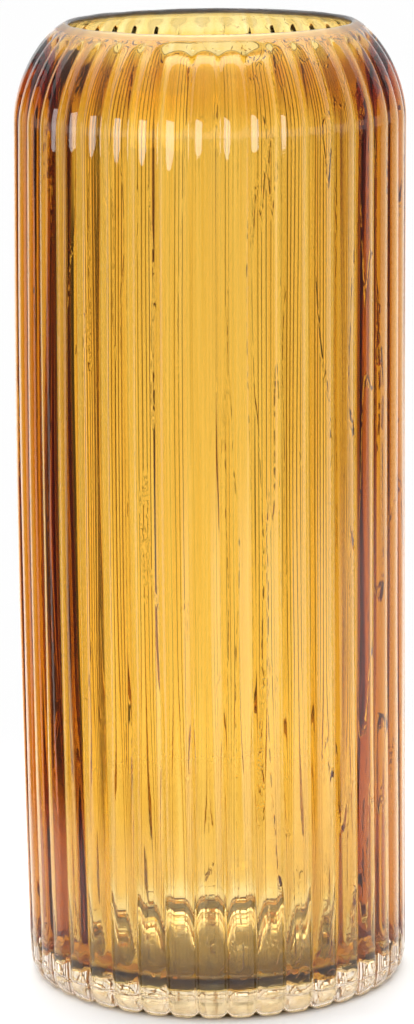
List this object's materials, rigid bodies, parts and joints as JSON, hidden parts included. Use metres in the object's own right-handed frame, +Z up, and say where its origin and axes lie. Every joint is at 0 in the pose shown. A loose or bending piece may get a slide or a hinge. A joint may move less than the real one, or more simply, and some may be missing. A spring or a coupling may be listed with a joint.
{
  "type": "ribbed glass vase",
  "caption": "Tall cylindrical glass vase with rounded vertical ribs, a drawn-in shoulder and mouth, a thick clear casing and base, and an amber inner lining.",
  "frame": {"origin": "centre of the underside, on the surface that the vase stands on", "axes": "+Z up along the vase's axis; -Y towards the viewer at the front, +X to the viewer's right"},
  "size_m": [0.0996, 0.0996, 0.25],
  "materials": {
    "clear_glass": "fire-polished, faintly grey-green",
    "amber_glass": "transparent honey amber, gloss"
  },
  "bodies": {
    "root": {"clear_casing": "clear_glass", "amber_lining": "amber_glass"}
  },
  "joints": []
}
